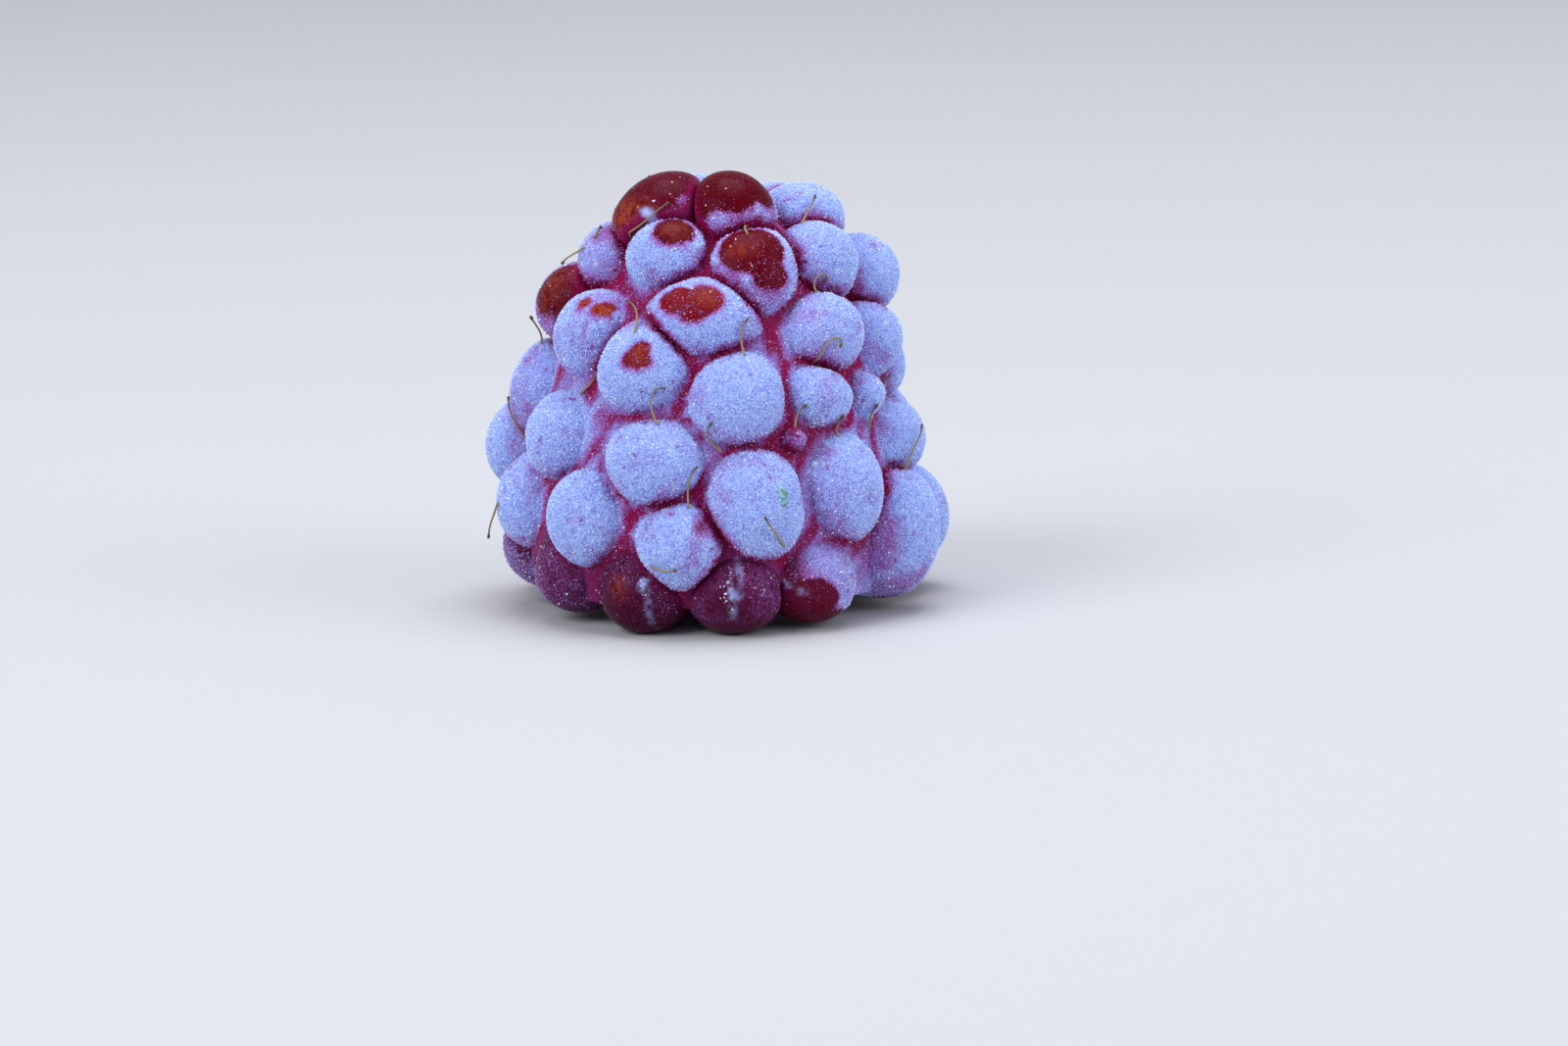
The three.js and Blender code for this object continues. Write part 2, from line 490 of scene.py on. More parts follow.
drupelets = allDrupelets()
fruitMesh, hollowPoints = growFruit(drupelets)
print("fruit grown:", len(drupelets), "drupelets,", triangleCount(fruitMesh), "triangles")

# Hoarfrost on each drupelet, as thickness from 0, none, to 1, full. Grooves stay clear.
frost = {
    "grooveClear": -0.06,  # mm from a groove at which frost begins
    "grooveFull": 0.42,
    "fringe": 0.3,  # share that is missing from the wider fringe inside that
    "fringeEnd": 0.85,  # mm from a groove
    "cornering": 4.5,  # per mm: how sharply it turns where two grooves meet
    "lowerSide": 0.12,  # mm more that it needs on a drupelet's lower side
    "mist": 0.42,  # how much there is in the widest gaps
    "ragged": 0.08,  # mm by which its edges wander
    "raggedSize": 0.35,
    "speckSize": 0.3,  # small gaps in it
    "specks": 0.48,
    "thickness": 0.07,
    "relief": 0.025,
    "reliefSize": 0.17,
    "mottle": 0.3,
    "mottleSize": 1.1,
    "sheltered": 0.5,  # mm above the resting surface below which there is none
    "thinning": 2.2,  # how much softer a bare patch's lower edge is
    "wander": 0.8,  # share of the raggedness that a bare patch's edge has
    "bareFrom": (-0.4, 0.2),  # mm out of a drupelet's middle where it can be bare
    "lowerFrom": (0.1, -0.9),  # its lower side, in half lengths up from its middle
    "backOfRim": 0.45,
    "hueScatter": 0.2,
    "grooveWidth": 0.4,
    "patchiness": 0.4,
    "mistFrom": (-0.02, -0.14),  # mm from a groove
    "mistPatches": (-0.9, 0.3),
    "mistSize": 0.8,
    "speckFrom": (0.75, 1.1),
    "hollowSide": (5.4, 7.4),  # mm from the axis within which a drupelet faces the hollow
    "hollowBelow": 4,
}

# Drupelets with thinner frost than the rest
thinFrost = {
    "crown 0": 0.7,
    "brow 0": 0.7,
    "shoulder 0": 0.8,
    "shoulder 1": 0.86,
    "breast 0": 0.85,
    "waist 6": 0.68,
    "hip 0": 0.9,
    "rim 0": 0.45,
    "rim 1": 0.25,
    "rim 2": 0.2,
    "rim 3": 0.2,
    "rim 4": 0.66,
}

# Drupelets with a smooth haze of frost too fine to stand out as grains
haze = {"crown 0": 0.12, "rim 0": 0.5, "rim 1": 0.7, "rim 2": 0.45, "rim 3": 0.7, "rim 4": 0.3}

# Where the frost has come off: round the fruit, up it, half width, half length and how soft
# the patch's edge is, in mm from the drupelet's tip, and how much has gone if not all
barePatches = {
    "crown 0": [(0, -0.1, 1.8, 2.6, 0.15)],
    "crown 1": [
        (-0.95, -0.5, 1.0, 0.95, 0.08),
        (-0.2, -0.85, 1.0, 1.0, 0.08),
        (0.75, -0.6, 1.05, 0.9, 0.08),
        (0, 0.55, 1.9, 1.75, 0.12),
    ],
    "brow 1": [(0.6, 0.2, 0.9, 0.88, 0.12, 0.95)],
    "brow 2": [(-0.38, 0.2, 1.5, 1.3, 0.08, 0.93), (0.05, -1.1, 0.95, 0.8, 0.14, 0.88)],
    "brow 3": [(-2.1, -1.6, 0.8, 0.9, 0.6, 0.35)],
    "shoulder 0": [(0.9, 0.3, 1.3, 1.5, 0.2, 0.9)],
    "shoulder 1": [
        (0.42, 1.02, 0.25, 0.42, 0.1, 0.9),
        (1.25, 0.97, 0.33, 0.44, 0.1, 0.9),
        (1.08, -0.1, 0.12, 0.65, 0.15, 0.4),
    ],
    "shoulder 2": [
        (-1.0, 0.38, 0.9, 0.76, 0.1, 0.87),
        (0.26, 0.38, 0.9, 0.78, 0.1, 0.87),
        (-0.28, -0.08, 0.85, 0.72, 0.1, 0.85),
    ],
    "shoulder 3": [
        (-1.9, -0.6, 0.6, 1.2, 0.5, 0.25),
        (0.75, 1.35, 0.3, 0.25, 0.2, 0.5),
        (-0.8, 0.1, 1.1, 1.2, 0.9, 0.22),
    ],
    "breast 0": [(0.9, -0.6, 0.8, 1.3, 0.6, 0.25)],
    "breast 1": [(0.28, 0.1, 0.8, 0.55, 0.12, 0.87), (0.4, 0.55, 0.48, 0.5, 0.1, 0.87)],
    "waist 3": [(-1.64, 0.67, 0.12, 0.3, 0.25, 0.6)],
    "waist 4": [(-1.4, -0.6, 0.7, 2.0, 0.7, 0.25)],
    "hip 2": [(1.05, 1.15, 0.35, 0.7, 0.4, 0.6)],
    "hip 3": [(-3.1, -0.9, 1.3, 3.4, 0.8, 0.6), (-1.2, -2.3, 1.6, 1.0, 0.7, 0.5)],
    "rim 2": [(-0.3, 0, 1.5, 1.3, 0.7, 0.9), (0.6, -1.5, 2.4, 1.2, 0.5, 0.8)],
    "rim 3": [(-0.3, 0.2, 1.3, 1.1, 0.6, 0.9), (0.3, -1.4, 2.4, 1.2, 0.6, 0.8)],
    "rim 4": [
        (-0.7, -0.1, 1.1, 1.1, 0.1, 0.93),
        (-0.6, -1.5, 2.0, 1.2, 0.2, 0.93),
        (-1.75, 0.6, 0.85, 1.3, 0.4, 0.6),
    ],
}

# Where light coming back orange through ripe flesh is painted on as a glow, and where clear ice runs
# over the skin with painted highlight streaks, both given as the bare patches are
paintedGlowPatches = {
    "crown 0": [(-0.1, -2.0, 1.0, 0.6, 0.5, 0.8), (0.9, -1.3, 0.5, 0.3, 0.3, 0.4)],
    "brow 1": [(0.7, 0.3, 0.5, 0.5, 0.4, 0.4)],
    "brow 2": [(-1.0, 0.3, 0.5, 0.3, 0.4, 0.5)],
    "shoulder 0": [(0.9, 0.3, 0.7, 1.2, 0.6, 0.4)],
    "shoulder 1": [(0.42, 1.02, 0.4, 0.4, 0.3, 0.9), (1.25, 0.97, 0.4, 0.4, 0.3, 0.9)],
    "shoulder 2": [(0.3, 0.5, 0.6, 0.4, 0.4, 0.6), (-1, 0.6, 0.3, 0.3, 0.4, 0.3)],
    "breast 1": [(0.4, 0.4, 0.3, 0.4, 0.4, 0.7)],
    "rim 2": [(-0.5, 0.95, 0.4, 0.35, 0.4, 0.6)],
}
# Painted highlight streaks on a film of clear ice
icyHighlightPatches = {
    "crown 0": [(1.25, -1.5, 0.35, 0.16, 0.1)],
    "rim 2": [(0.72, 1.1, 0.16, 0.22, 0.1), (0.95, 0.3, 0.06, 0.75, 0.12, 0.4)],
    "rim 3": [
        (-0.3, 0.95, 0.12, 0.32, 0.1, 0.85),
        (-0.05, 0.8, 0.1, 0.2, 0.1, 0.8),
        (0.15, 1.45, 0.1, 0.4, 0.12, 0.7),
        (-0.25, 0.2, 0.14, 0.35, 0.15, 0.45),
    ],
    "rim 4": [(-1.75, 0.45, 0.16, 0.14, 0.12, 0.45), (-1.2, 0.3, 0.16, 0.14, 0.12, 0.45)],
}

# How dark each row's skin is, from 0, orange red, to 1, dusky purple. The dusky end is painted shade
# that darkens the lowest drupelets, the rim row most.
redness = {
    "tip": 0.6,
    "crown": 0.6,
    "brow": 0.4,
    "shoulder": 0.1,
    "breast": 0.15,
    "waist": 0.3,
    "hip": 0.6,
    "rim": 0.9,
}
ownRedness = {"shoulder 0": 0.5, "rim 4": 0.4}

# Drupelets at the back lose theirs by chance
bareByChance = {"share": 0.2, "smallest": 0.45, "largest": 1.2, "edge": 0.15}


def chanceBarePatch(number):
    if scattered(900 + number) + 0.5 > bareByChance["share"]:
        return []
    span = bareByChance["largest"] - bareByChance["smallest"]
    width = bareByChance["smallest"] + span * (scattered(901 + 3 * number) + 0.5)
    place = (1.6 * scattered(902 + 5 * number), 1.2 * scattered(903 + 7 * number) + 0.3)
    return [(*place, width, 0.8 * width, bareByChance["edge"])]


def noiseAt(points, size, seed=0):
    # Smooth noise, about -1 to 1, whose lumps are about as wide as size
    shift = Vector((17.3 * seed, -9.1 * seed, 4.7 * seed))
    return np.array([noise.noise(Vector(p) / size + shift) for p in points]) * 1.6


def patchShare(local, patches, wander=0, thinning=0):
    # From 0 to 1, how much of a patch lies at each place on a drupelet
    share = np.zeros(len(local))
    for around, up, halfWidth, halfLength, edge, *strength in patches:
        aside, above = (local[:, 0] - around) / halfWidth, (local[:, 1] - up) / halfLength
        past = (np.hypot(aside, above) - 1) * min(halfWidth, halfLength) + wander
        edges = edge * (1 + thinning * smoothstep(0, -1, above))
        inside = 1 - smoothstep(-1, 1, past / edges)
        share = np.maximum(share, inside * (strength[0] if strength else 1))
    return share


def ownersOf(points, drupelets, hollowPoints):
    # Which drupelet each point lies on, by number, or -1 in the hollow
    parts = [(number, one["points"]) for number, one in enumerate(drupelets)]
    parts.append((-1, hollowPoints))
    owners = np.concatenate([np.full(len(spots), number) for number, spots in parts])
    tree = KDTree(len(owners))
    for index, spot in enumerate(np.concatenate([spots for _, spots in parts])):
        tree.insert(spot, index)
    tree.balance()
    return owners[[tree.find(p)[1] for p in points]]


def frostByDrupelet(points, owner, drupelets, ragged):
    # What each drupelet gives its own vertices
    names = ("fromGroove", "bare", "level", "lower", "hue", "paintedGlow", "icyHighlight", "haze")
    given = {name: np.zeros(len(points)) for name in names}
    for number, one in enumerate(drupelets):
        mine = owner == number
        offset = points[mine] - one["centre"]
        nearest = [at - drupelet["fusing"] - offset @ direction for direction, at in one["walls"]]
        closeness = np.exp(-frost["cornering"] * np.array(nearest)).sum(axis=0)
        local = offset @ one["axes"].T
        name = one["name"]
        row, place = name.split()
        stated = int(place) < len(rows[row]["front"])
        patches = barePatches.get(name, []) if stated else chanceBarePatch(number)
        bare = patchShare(local, patches, frost["wander"] * ragged[mine], frost["thinning"])
        own = {
            "fromGroove": -np.log(closeness) / frost["cornering"],
            "bare": bare * smoothstep(*frost["bareFrom"], local[:, 2]),
            "lower": smoothstep(*frost["lowerFrom"], local[:, 1] / one["half"][1]),
            "level": frost["backOfRim"] if row == "rim" else 1,
            "hue": redness[row] + frost["hueScatter"] * scattered(500 + number),
            "haze": haze.get(name, 0) * (1 - 0.8 * bare),
        }
        if stated:
            own["level"] = thinFrost.get(name, 1)
            own["hue"] = ownRedness.get(name, own["hue"])
            own["paintedGlow"] = patchShare(local, paintedGlowPatches.get(name, []))
            own["icyHighlight"] = patchShare(local, icyHighlightPatches.get(name, []), ragged[mine])
        for key, value in own.items():
            given[key][mine] = value
    return given


def coverOf(points, given, ragged):
    # How thick the frost stands, from 0 to 1, before the hollow's side is cleared of it
    fromGroove, lower = given["fromGroove"], given["lower"]
    full = frost["grooveFull"] + lower * frost["lowerSide"]
    cover = smoothstep(frost["grooveClear"], full, fromGroove + ragged)
    patchy = frost["patchiness"] * (noiseAt(points, frost["mottleSize"], 21) - lower)
    grown = smoothstep(0.1, frost["fringeEnd"], fromGroove + patchy)
    cover *= 1 - frost["fringe"] * (1 - grown)
    mist = smoothstep(*frost["mistPatches"], noiseAt(points, frost["mistSize"], 11))
    mist = frost["mist"] * mist * smoothstep(*frost["mistFrom"], fromGroove)
    mottle = 1 - frost["mottle"] * smoothstep(0, 1, noiseAt(points, frost["mottleSize"], 3))
    specks = smoothstep(*frost["speckFrom"], noiseAt(points, frost["speckSize"], 8))
    mottle -= frost["specks"] * specks
    standing = smoothstep(frost["sheltered"], 2 * frost["sheltered"], points[:, 2])
    left = (1 - given["bare"]) * given["level"] * mottle.clip(0) * standing
    return np.maximum(cover, mist) * left


def frostOn(mesh, drupelets, hollowPoints):
    # Works out the frost at each vertex, raises the skin by it, and keeps it as attributes
    points = pointsOf(mesh)
    owner = ownersOf(points, drupelets, hollowPoints)
    ragged = noiseAt(points, frost["raggedSize"]) * frost["ragged"]
    given = frostByDrupelet(points, owner, drupelets, ragged)
    grooveWidth = frost["grooveWidth"]
    groove = 1 - smoothstep(0, grooveWidth, given["fromGroove"] + ragged * grooveWidth)
    radius = np.hypot(points[:, 0], points[:, 1])
    below = points[:, 2] < frost["hollowBelow"]
    facing = (1 - smoothstep(*frost["hollowSide"], radius)) * below
    inside = np.where(owner < 0, 1, facing)
    cover = coverOf(points, given, ragged) * (1 - inside)
    relief = noiseAt(points, frost["reliefSize"], 5) * frost["relief"]
    normals = np.empty(len(points) * 3, np.float32)
    mesh.vertices.foreach_get("normal", normals)
    points += normals.reshape(-1, 3) * (cover * (frost["thickness"] + relief))[:, None]

    low, high = points.min(axis=0), points.max(axis=0)
    middle = np.array([(low[0] + high[0]) / 2, (low[1] + high[1]) / 2, 0])
    points -= middle
    mesh.vertices.foreach_set("co", (points * mm).astype(np.float32).ravel())
    kept = {"cover": cover, "groove": groove, "inside": inside}
    kept.update({name: given[name] for name in ("hue", "paintedGlow", "icyHighlight", "haze")})
    for name, values in kept.items():
        layer = mesh.attributes.new(name, "FLOAT", "POINT")
        layer.data.foreach_set("value", values.astype(np.float32))
    mesh.update()
    return middle


fruitMiddle = frostOn(fruitMesh, drupelets, hollowPoints)
print("frost laid")

# Raspberry skin: a thin tight wet film over clear red juice, so it is glossy and lets light
# into the flesh. Hoarfrost on it is a mat of ice grains under 0.1 mm wide, which scatters
# light and hides the gloss. Where it thins out, the grains stand apart on violet ice film.
skin = {
    "warm": "7E0D0F",
    "bare": "58040C",
    # Dusky purple: painted shade on the lowest drupelets, and darker mottling at random
    "dusky": "3A0A22",
    "pore": "3E0410",
    # Painted glow of light coming back orange through the flesh
    "paintedGlow": "A64620",
    "groove": "840F46",
    "inside": "9C3C50",
    "mist": "8C4692",
    # Darker mist: painted shade on the lowest drupelets
    "mistDark": "561C44",
    "film": "8474CA",
    # The frost colours' blue cast is painted light: white ice as it looks under a bluish light
    "frost": "AFC7FF",
    "frostDark": "939DE6",
    "rosy": "A680C6",
    # Painted highlight streaks on clear ice film
    "icyHighlight": "A8B8F8",
    # Painted glints: peach dots where the sparkle noise peaks
    "glint": "F2B48C",
    "attributes": ["cover", "groove", "inside", "hue", "paintedGlow", "icyHighlight", "haze"],
    # Lumps about this many mm wide, and their detail
    "noise": {"fine": (0.07, 2), "flecks": (0.3, 3), "sparkle": (0.154, 0)},
    # What each mask reads, from where to where it grows, and what that is then joined with
    "masks": {
        "present": ("standing", -0.16, 0.14),
        "darkerRed": ("hue", 0.1, 0.5),
        # Painted shade: dusky skin and darker mist on drupelets of high hue, the rim row most
        "paintedShade": ("hue", 0.6, 1),
        "shaded": ("flecks", 0.4, 0.7, "MULTIPLY", 0.3),
        # Painted glow where its patches lie
        "glowing": ("flecks", 0.3, 0.6, "MULTIPLY", "paintedGlow"),
        "pores": ("fine", 0.5, 0.42, "MULTIPLY", 0.75),
        "hazy": ("flecks", 0.25, 0.6, "MULTIPLY", "haze"),
        "misty": ("cover", 0.16, 0.42, "MAXIMUM", "hazy"),
        "filmed": ("cover", 0.3, 0.85),
        # Painted highlight streaks where their patches lie
        "highlightedGlaze": ("flecks", 0.3, 0.55, "MULTIPLY", "icyHighlight"),
        "uneven": ("flecks", 0.35, 0.65),
        "sparse": ("cover", 0.9, 0.2),
        # Painted glints
        "sparks": ("sparkle", 0.8, 0.9),
    },
    # Colours from the lowest up, each but the first with its mask
    "layers": {
        "mistWithPaintedShade": ["mist", ("paintedShade", "mistDark")],
        "ice": ["frost", ("uneven", "frostDark"), ("sparse", "rosy")],
        "red": ["warm", ("darkerRed", "bare"), ("paintedShade", "dusky"), ("shaded", "dusky")],
        "whole": [
            "red",
            ("glowing", "paintedGlow"),
            ("pores", "pore"),
            ("groove", "groove"),
            ("inside", "inside"),
            ("misty", "mistWithPaintedShade"),
            ("filmed", "film"),
            ("highlightedGlaze", "icyHighlight"),
            ("present", "ice"),
            ("sparks", "glint"),
        ],
    },
    "grain": (0.3, 0.64),  # how full the fine noise is where frost still stands
    "gloss": 0.27,
    "frostRoughness": 0.85,
    "specular": 0.06,
    # Lavender tint of the skin's reflections: painted reflection of a bluish surround
    "reflected": "C8C4FF",
    "bumpDepth": 0.03,
    "bump": 0.5,
    "bareBump": 0.25,
    "clearness": 0.2,
    "reach": 0.4,  # mm that light goes into the flesh
    "reachByColour": (1.0, 0.35, 0.25),
}


def readings(tree, look):
    # What a material reads: its piece's attributes, and noise
    place = addNode(tree, "ShaderNodeTexCoord", output="Object")
    made = {}
    for name in look.get("attributes", []):
        made[name] = addNode(tree, "ShaderNodeAttribute", {"attribute_name": name}, output="Fac")
    for name, (size, detail) in look.get("noise", {}).items():
        inputs = {"Vector": place, "Scale": 1 / (size * mm), "Detail": detail, "Roughness": 0.6}
        made[name] = addNode(tree, "ShaderNodeTexNoise", inputs=inputs)
    return made


def layeredColour(tree, look, made):
    # Adds a material's masks and lays its colours over each other, and gives back the last
    for name, (read, low, high, *joined) in look["masks"].items():
        inputs = {"Value": made[read], "From Min": low, "From Max": high}
        smooth = {"interpolation_type": "SMOOTHSTEP"}
        mask = addNode(tree, "ShaderNodeMapRange", smooth, inputs)
        if joined:
            inputs = {0: mask, 1: made.get(joined[1], joined[1])}
            mask = addNode(tree, "ShaderNodeMath", {"operation": joined[0]}, inputs)
        made[name] = mask
    colours = {}
    for name, (first, *layers) in look["layers"].items():
        colour = colours.get(first) or linearColour(look[first])
        for mask, upper in layers:
            over = colours.get(upper) or linearColour(look[upper])
            inputs = {"Factor": made[mask], "A": colour, "B": over}
            colour = addNode(tree, "ShaderNodeMix", {"data_type": "RGBA"}, inputs)
        colours[name] = colour
    return colour


def newMaterial(name):
    material = bpy.data.materials.new(name)
    material.use_nodes = True
    material.node_tree.nodes.clear()
    return material, material.node_tree


def finishMaterial(tree, settings, inputs):
    surface = addNode(tree, "ShaderNodeBsdfPrincipled", settings, inputs)
    addNode(tree, "ShaderNodeOutputMaterial", inputs={"Surface": surface})


def skinMaterial():
    material, tree = newMaterial("raspberry skin under hoarfrost")
    made = readings(tree, skin)
    low, high = skin["grain"]
    grain = addNode(
        tree, "ShaderNodeMapRange", {}, {"Value": made["fine"], "From Min": low, "From Max": high}
    )
    made["standing"] = addNode(
        tree, "ShaderNodeMath", {"operation": "SUBTRACT"}, {0: made["cover"], 1: grain}
    )
    colour = layeredColour(tree, skin, made)
    smooth = {"To Min": skin["gloss"], "To Max": skin["frostRoughness"]}
    roughness = addNode(tree, "ShaderNodeMapRange", {}, {"Value": made["present"], **smooth})
    height = addNode(
        tree, "ShaderNodeMath", {"operation": "ADD"}, {0: made["present"], 1: skin["bareBump"]}
    )
    height = addNode(
        tree, "ShaderNodeMath", {"operation": "MULTIPLY"}, {0: made["fine"], 1: height}
    )
    depth = {"Strength": skin["bump"], "Distance": skin["bumpDepth"] * mm, "Height": height}
    inputs = {
        "Base Color": colour,
        "Roughness": roughness,
        "Specular IOR Level": skin["specular"],
        "Specular Tint": linearColour(skin["reflected"]),
        "Normal": addNode(tree, "ShaderNodeBump", {}, depth),
        "IOR": 1.38,
        "Subsurface Weight": skin["clearness"],
        "Subsurface Radius": skin["reachByColour"],
        "Subsurface Scale": skin["reach"] * mm,
    }
    finishMaterial(tree, {"subsurface_method": "RANDOM_WALK"}, inputs)
    return material


fruitMesh.materials.clear()
fruitMesh.materials.append(skinMaterial())
fruitMesh.shade_smooth()
fruitMesh.set_sharp_from_angle(angle=math.radians(50))
fruitPiece = bpy.data.objects.new("frostedRaspberry", fruitMesh)
addPiece(fruitPiece)
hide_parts("raspberry")
print("skin finished")


def newTree(name, sockets):
    # A geometry tree with named inputs
    tree = bpy.data.node_groups.new(name, "GeometryNodeTree")
    tree.interface.new_socket("Geometry", in_out="OUTPUT", socket_type="NodeSocketGeometry")
    for label, kind in {"Geometry": "Geometry", **sockets}.items():
        tree.interface.new_socket(label, in_out="INPUT", socket_type="NodeSocket" + kind)
    return tree, tree.nodes.new("NodeGroupInput").outputs


def pieceFromTree(name, source, tree, values):
    # Runs a tree on an object and keeps the result as a plain mesh of its own
    modifier = source.modifiers.new(name, "NODES")
    modifier.node_group = tree
    for item in tree.interface.items_tree:
        if item.in_out == "INPUT" and item.name in values:
            modifier[item.identifier] = values[item.name]
    graph = bpy.context.evaluated_depsgraph_get()
    mesh = bpy.data.meshes.new_from_object(
        source.evaluated_get(graph), preserve_all_data_layers=True, depsgraph=graph
    )
    source.modifiers.remove(modifier)
    mesh.name = name
    return bpy.data.objects.new(name, mesh)


iceIor = 1.31

# Ice grains of the hoarfrost, one piece for each quarter of the fruit
grains = {
    "inputs": {
        "Grain Width": 0.085 * mm,
        "Grain Height": 0.08 * mm,
        "Smallest": 0.5,
        "Largest": 1.5,
        "Tilt": 0.62,
        "Sunk": 0.25,  # share of its height
        "Gathering": 1.8,  # how much fewer they are in thin frost
    },
    "most": 62000,  # in the fullest quarter
    # Their blue cast is painted light: white ice as it looks under a bluish light
    "clear": "C2D6FF",
    "violet": "6066C4",
    # Painted sparkle: a few grains made white to stand for glints
    "white": "F4F8FF",
    "rosy": "A680C6",
    "attributes": ["tint", "cover"],
    "masks": {
        "deep": ("tint", 0.6, 0),
        "sparse": ("cover", 0.9, 0.2),
        # Painted sparkle on the grains whose tint is highest
        "paintedSparkle": ("tint", 0.96, 1),
    },
    "layers": {"whole": ["clear", ("deep", "violet"), ("sparse", "rosy"), ("paintedSparkle", "white")]},
    "roughness": 0.45,
}


def grainMaterial():
    material, tree = newMaterial("hoarfrost grains")
    colour = layeredColour(tree, grains, readings(tree, grains))
    inputs = {"Base Color": colour, "Roughness": grains["roughness"], "IOR": iceIor}
    finishMaterial(tree, {}, inputs)
    return material


def grainTree():
    sockets = dict.fromkeys([*grains["inputs"], "Grains per Area"], "Float")
    sockets.update({"Facing": "Vector", "Seed": "Int", "Material": "Material"})
    tree, given = newTree("frostGrains", sockets)
    width, height, facing = given["Grain Width"], given["Grain Height"], given["Facing"]
    sums, vectors, chance = "ShaderNodeMath", "ShaderNodeVectorMath", "FunctionNodeRandomValue"

    # The quarter of the skin that faces that way
    place = addNode(tree, "GeometryNodeInputPosition")
    aside = addNode(tree, vectors, {"operation": "CROSS_PRODUCT"}, {0: facing, 1: (0, 0, 1)})
    ahead = addNode(tree, vectors, {"operation": "DOT_PRODUCT"}, {0: place, 1: facing})
    across = addNode(tree, vectors, {"operation": "DOT_PRODUCT"}, {0: place, 1: aside})
    away = addNode(tree, sums, {"operation": "ABSOLUTE"}, {0: across})
    quarter = addNode(
        tree, "FunctionNodeCompare", {"operation": "GREATER_THAN"}, {0: ahead, 1: away}
    )

    # Points on it, close together where the frost is thick
    cover = addNode(tree, "GeometryNodeInputNamedAttribute", {}, {"Name": "cover"})
    thick = addNode(tree, sums, {"operation": "POWER"}, {0: cover, 1: given["Gathering"]})
    density = addNode(
        tree, sums, {"operation": "MULTIPLY"}, {0: thick, 1: given["Grains per Area"]}
    )
    inputs = {"Mesh": given["Geometry"], "Selection": quarter, "Density": density}
    inputs["Seed"] = given["Seed"]
    points = addNode(tree, "GeometryNodeDistributePointsOnFaces", {}, inputs, "Points")

    # At each a small cone of three sides, leaning by chance
    back = addNode(tree, sums, {"operation": "MULTIPLY"}, {0: given["Tilt"], 1: -1})
    lowest = addNode(tree, "ShaderNodeCombineXYZ", {}, {"X": back, "Y": back, "Z": -math.pi})
    inputs = {"X": given["Tilt"], "Y": given["Tilt"], "Z": math.pi}
    highest = addNode(tree, "ShaderNodeCombineXYZ", {}, inputs)
    inputs = {"Min": lowest, "Max": highest, "Seed": given["Seed"]}
    lean = addNode(tree, chance, {"data_type": "FLOAT_VECTOR"}, inputs)
    turned = addNode(tree, "FunctionNodeEulerToRotation", {}, {"Euler": lean})
    inputs = {"Rotation": points.node.outputs["Rotation"], "Rotate By": turned}
    rotation = addNode(
        tree, "FunctionNodeRotateRotation", {"rotation_space": "LOCAL"}, inputs
    )
    inputs = {"Min": given["Smallest"], "Max": given["Largest"], "Seed": given["Seed"]}
    size = addNode(tree, chance, {}, inputs)
    radius = addNode(tree, sums, {"operation": "DIVIDE"}, {0: width, 1: 2})
    inputs = {"Vertices": 3, "Radius Bottom": radius, "Depth": height}
    grain = addNode(tree, "GeometryNodeMeshCone", {"fill_type": "NONE"}, inputs)
    inputs = {"Points": points, "Instance": grain, "Rotation": rotation, "Scale": size}
    placed = addNode(tree, "GeometryNodeInstanceOnPoints", {}, inputs)
    down = addNode(tree, sums, {"operation": "MULTIPLY"}, {0: height, 1: given["Sunk"]})
    down = addNode(tree, sums, {"operation": "MULTIPLY"}, {0: down, 1: -1})
    sink = addNode(tree, "ShaderNodeCombineXYZ", {}, {"Z": down})
    inputs = {"Instances": placed, "Translation": sink}
    sunk = addNode(tree, "GeometryNodeTranslateInstances", {}, inputs)

    tint = addNode(tree, chance, {}, {"Seed": given["Seed"]})
    inputs = {"Geometry": sunk, "Name": "tint", "Value": tint}
    tinted = addNode(tree, "GeometryNodeStoreNamedAttribute", {"domain": "INSTANCE"}, inputs)
    realized = addNode(tree, "GeometryNodeRealizeInstances", {}, {"Geometry": tinted})
    inputs = {"Geometry": realized, "Material": given["Material"]}
    finished = addNode(tree, "GeometryNodeSetMaterial", {}, inputs)
    addNode(tree, "NodeGroupOutput", {}, {"Geometry": finished})
    return tree


def frostedArea(mesh, facing):
    # Area in square metres of the quarter that faces that way, weighed by its frost
    cover = np.empty(len(mesh.vertices), np.float32)
    mesh.attributes["cover"].data.foreach_get("value", cover)
    area = 0
    for face in mesh.polygons:
        ahead = face.center @ facing
        if ahead > abs(face.center.x * facing.y - face.center.y * facing.x):
            thick = np.mean([cover[v] for v in face.vertices]) ** grains["inputs"]["Gathering"]
            area += face.area * thick
    return area


def layGrains():
    material = grainMaterial()
    tree = grainTree()
    quarters = {
        "hoarfrostFront": Vector((0, -1, 0)),
        "hoarfrostRight": Vector((1, 0, 0)),
        "hoarfrostBack": Vector((0, 1, 0)),
        "hoarfrostLeft": Vector((-1, 0, 0)),
    }
    areas = [frostedArea(fruitMesh, facing) for facing in quarters.values()]
    for seed, (name, facing) in enumerate(quarters.items()):
        values = {
            **grains["inputs"],
            "Grains per Area": grains["most"] / max(areas),
            "Facing": facing,
            "Seed": seed,
            "Material": material,
        }
        piece = pieceFromTree(name, fruitPiece, tree, values)
        addPiece(piece)


layGrains()

